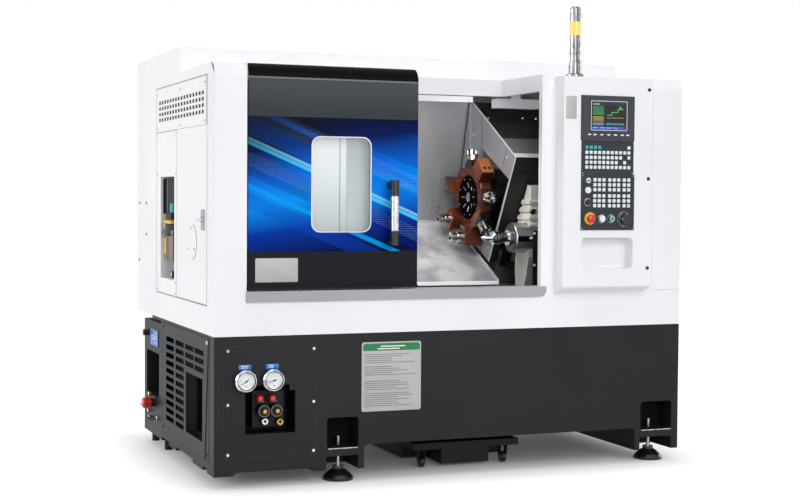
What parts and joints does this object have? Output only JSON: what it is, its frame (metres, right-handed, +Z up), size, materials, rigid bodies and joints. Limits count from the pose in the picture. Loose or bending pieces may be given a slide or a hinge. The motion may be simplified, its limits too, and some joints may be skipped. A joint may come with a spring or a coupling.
{
  "type": "slant-bed turning lathe",
  "caption": "Enclosed slant-bed turning lathe with a sliding door, tool turret, tailstock, control box and pull-out coolant tank.",
  "frame": {"origin": "centre of the plan of the whole machine, on the floor", "axes": "+X to the operator's right, +Y to the back, +Z up"},
  "size_m": [2.4166, 1.771, 2.208],
  "materials": {
    "white_paint": "satin powder coat",
    "black_paint": "fine textured powder coat",
    "dark_steel": "semi-matt black",
    "sheet_steel": "brushed stainless sheet",
    "door_black": "satin black with a printed panel",
    "grey_casting": "painted casting",
    "cream_casting": "cream painted casting",
    "bright_steel": "ground steel",
    "chrome": "polished",
    "copper_holder": "copper-coloured coated steel",
    "black_plastic": "moulded",
    "panel_dark": "dark blue-grey panel",
    "grey_sill": "satin grey",
    "red_plastic": "glossy",
    "green_plastic": "glossy",
    "white_plastic": "glossy",
    "amber_lens": "translucent",
    "tower_clear": "clear segments",
    "window_glass": "laminated pane",
    "gauge_face": "steel bezel with a white dial",
    "oil_unit": "pump housing with an oil reservoir",
    "light_bar": "diffuser",
    "wheel_rubber": "solid tyre"
  },
  "bodies": {
    "machine": {"base_frame": "black_paint", "levelling_feet": "dark_steel", "side_grille": "black_paint", "gauge_panel": "black_paint", "pressure_gauges": "gauge_face", "valve_block": "dark_steel", "hydraulic_unit": "black_paint", "front_cover": "white_paint", "left_side_cover": "white_paint", "right_side_cover": "white_paint", "rear_cover": "white_paint", "vent_panel": "white_paint", "lubricator_panel": "white_paint", "lubricator": "oil_unit", "opening_frame": "white_paint", "sill_plate": "grey_sill", "work_lights": "light_bar", "slant_bed": "grey_casting", "fixed_way_cover": "sheet_steel", "right_guard": "dark_steel", "headstock": "grey_casting", "control_box": "white_paint", "display_unit": "panel_dark", "keyboard_unit": "panel_dark", "operator_panel": "panel_dark", "tower_stand": "tower_clear", "tower_lens": "amber_lens"},
    "door": {"door_panel": "door_black", "door_window": "window_glass", "door_handle": "bright_steel"},
    "side_door": {"side_door": "white_paint"},
    "latch": {"latch_lever": "chrome"},
    "spindle": {"spindle": "bright_steel", "chuck_body": "bright_steel"},
    "jaw_1": {"chuck_jaw_1": "bright_steel"},
    "jaw_2": {"chuck_jaw_2": "bright_steel"},
    "jaw_3": {"chuck_jaw_3": "bright_steel"},
    "saddle": {"saddle": "grey_casting", "saddle_cover": "sheet_steel", "sliding_way_cover": "sheet_steel"},
    "turret_slide": {"turret_housing": "dark_steel"},
    "turret": {"turret_disc": "copper_holder", "turret_cap": "dark_steel", "tool_blocks": "copper_holder", "collet_chucks": "chrome"},
    "tailstock": {"tailstock_body": "cream_casting"},
    "quill": {"tailstock_quill": "chrome"},
    "live_centre": {"live_centre": "chrome"},
    "tank": {"coolant_tank": "black_paint"},
    "front_wheels": {"front_wheels": "wheel_rubber"},
    "rear_wheels": {"rear_wheels": "wheel_rubber"},
    "emergency_stop": {"emergency_stop": "red_plastic"},
    "start_button": {"start_button": "white_plastic"},
    "stop_button": {"stop_button": "green_plastic"},
    "key_switch": {"key_switch": "chrome"},
    "mode_knob": {"mode_knob": "black_plastic"},
    "handwheel": {"handwheel": "black_plastic"},
    "valve_knob_left": {"valve_knob_left": "red_plastic"},
    "valve_knob_right": {"valve_knob_right": "red_plastic"},
    "filler_cap": {"filler_cap": "red_plastic"}
  },
  "joints": [
    {"name": "door_slide", "type": "slide", "parent": "machine", "child": "door", "axis": [1, 0, 0], "range_m": [0, 0.628]},
    {"name": "side_door_hinge", "type": "hinge", "parent": "machine", "child": "side_door", "pos_m": [-1.14475, -0.059, 1.206], "axis": [0, 0, -1], "range_deg": [0, 110]},
    {"name": "latch_turn", "type": "hinge", "parent": "side_door", "child": "latch", "pos_m": [-1.15375, -0.6045, 1.185], "axis": [-1, 0, 0], "range_deg": [0, 90]},
    {"name": "spindle_spin", "type": "hinge", "parent": "machine", "child": "spindle", "pos_m": [-0.98175, -0.4705, 1.094], "axis": [1, 0, 0], "continuous": true},
    {"name": "jaw_1_slide", "type": "slide", "parent": "spindle", "child": "jaw_1", "axis": [0, 0, 1], "range_m": [-0.002, 0.006]},
    {"name": "jaw_2_slide", "type": "slide", "parent": "spindle", "child": "jaw_2", "axis": [0, -0.866, -0.5], "range_m": [-0.002, 0.006]},
    {"name": "jaw_3_slide", "type": "slide", "parent": "spindle", "child": "jaw_3", "axis": [0, 0.866, -0.5], "range_m": [-0.002, 0.006]},
    {"name": "saddle_slide", "type": "slide", "parent": "machine", "child": "saddle", "axis": [-1, 0, 0], "range_m": [0, 0.36]},
    {"name": "cross_slide", "type": "slide", "parent": "saddle", "child": "turret_slide", "axis": [0, -0.866, -0.5], "range_m": [0, 0.1]},
    {"name": "turret_index", "type": "hinge", "parent": "turret_slide", "child": "turret", "pos_m": [0.35425, -0.1205, 1.292], "axis": [1, 0, 0], "continuous": true},
    {"name": "tailstock_slide", "type": "slide", "parent": "machine", "child": "tailstock", "axis": [-1, 0, 0], "range_m": [0, 0.3]},
    {"name": "quill_slide", "type": "slide", "parent": "tailstock", "child": "quill", "axis": [-1, 0, 0], "range_m": [0, 0.08]},
    {"name": "centre_spin", "type": "hinge", "parent": "quill", "child": "live_centre", "pos_m": [0.26525, -0.4705, 1.094], "axis": [1, 0, 0], "continuous": true},
    {"name": "tank_slide", "type": "slide", "parent": "machine", "child": "tank", "axis": [0, -1, 0], "range_m": [0, 0.9]},
    {"name": "front_wheels_roll", "type": "hinge", "parent": "tank", "child": "front_wheels", "pos_m": [-0.06675, -0.5355, 0.027], "axis": [1, 0, 0], "continuous": true},
    {"name": "rear_wheels_roll", "type": "hinge", "parent": "tank", "child": "rear_wheels", "pos_m": [-0.06675, 0.2745, 0.027], "axis": [1, 0, 0], "continuous": true},
    {"name": "emergency_stop_press", "type": "slide", "parent": "machine", "child": "emergency_stop", "axis": [0, 1, 0], "range_m": [0, 0.005], "stiffness_N_per_m": 1500},
    {"name": "start_press", "type": "slide", "parent": "machine", "child": "start_button", "axis": [0, 1, 0], "range_m": [0, 0.004], "stiffness_N_per_m": 800},
    {"name": "stop_press", "type": "slide", "parent": "machine", "child": "stop_button", "axis": [0, 1, 0], "range_m": [0, 0.004], "stiffness_N_per_m": 800},
    {"name": "key_turn", "type": "hinge", "parent": "machine", "child": "key_switch", "pos_m": [0.64325, -0.8605, 1.375], "axis": [0, -1, 0], "range_deg": [0, 90]},
    {"name": "mode_turn", "type": "hinge", "parent": "machine", "child": "mode_knob", "pos_m": [0.64425, -0.8605, 1.272], "axis": [0, -1, 0], "range_deg": [-135, 135]},
    {"name": "handwheel_turn", "type": "hinge", "parent": "machine", "child": "handwheel", "pos_m": [0.84225, -0.8605, 1.193], "axis": [0, -1, 0], "continuous": true},
    {"name": "valve_left_turn", "type": "hinge", "parent": "machine", "child": "valve_knob_left", "pos_m": [-0.92775, -0.7305, 0.396], "axis": [0, -1, 0], "range_deg": [0, 300]},
    {"name": "valve_right_turn", "type": "hinge", "parent": "machine", "child": "valve_knob_right", "pos_m": [-0.87075, -0.7305, 0.396], "axis": [0, -1, 0], "range_deg": [0, 300]},
    {"name": "filler_cap_turn", "type": "hinge", "parent": "machine", "child": "filler_cap", "pos_m": [-1.17375, 0.4425, 0.23], "axis": [-1, 0, 0], "range_deg": [0, 90]}
  ],
  "couplings": [
    {"joint": "jaw_2_slide", "follows": "jaw_1_slide", "ratio": 1},
    {"joint": "jaw_3_slide", "follows": "jaw_1_slide", "ratio": 1}
  ]
}
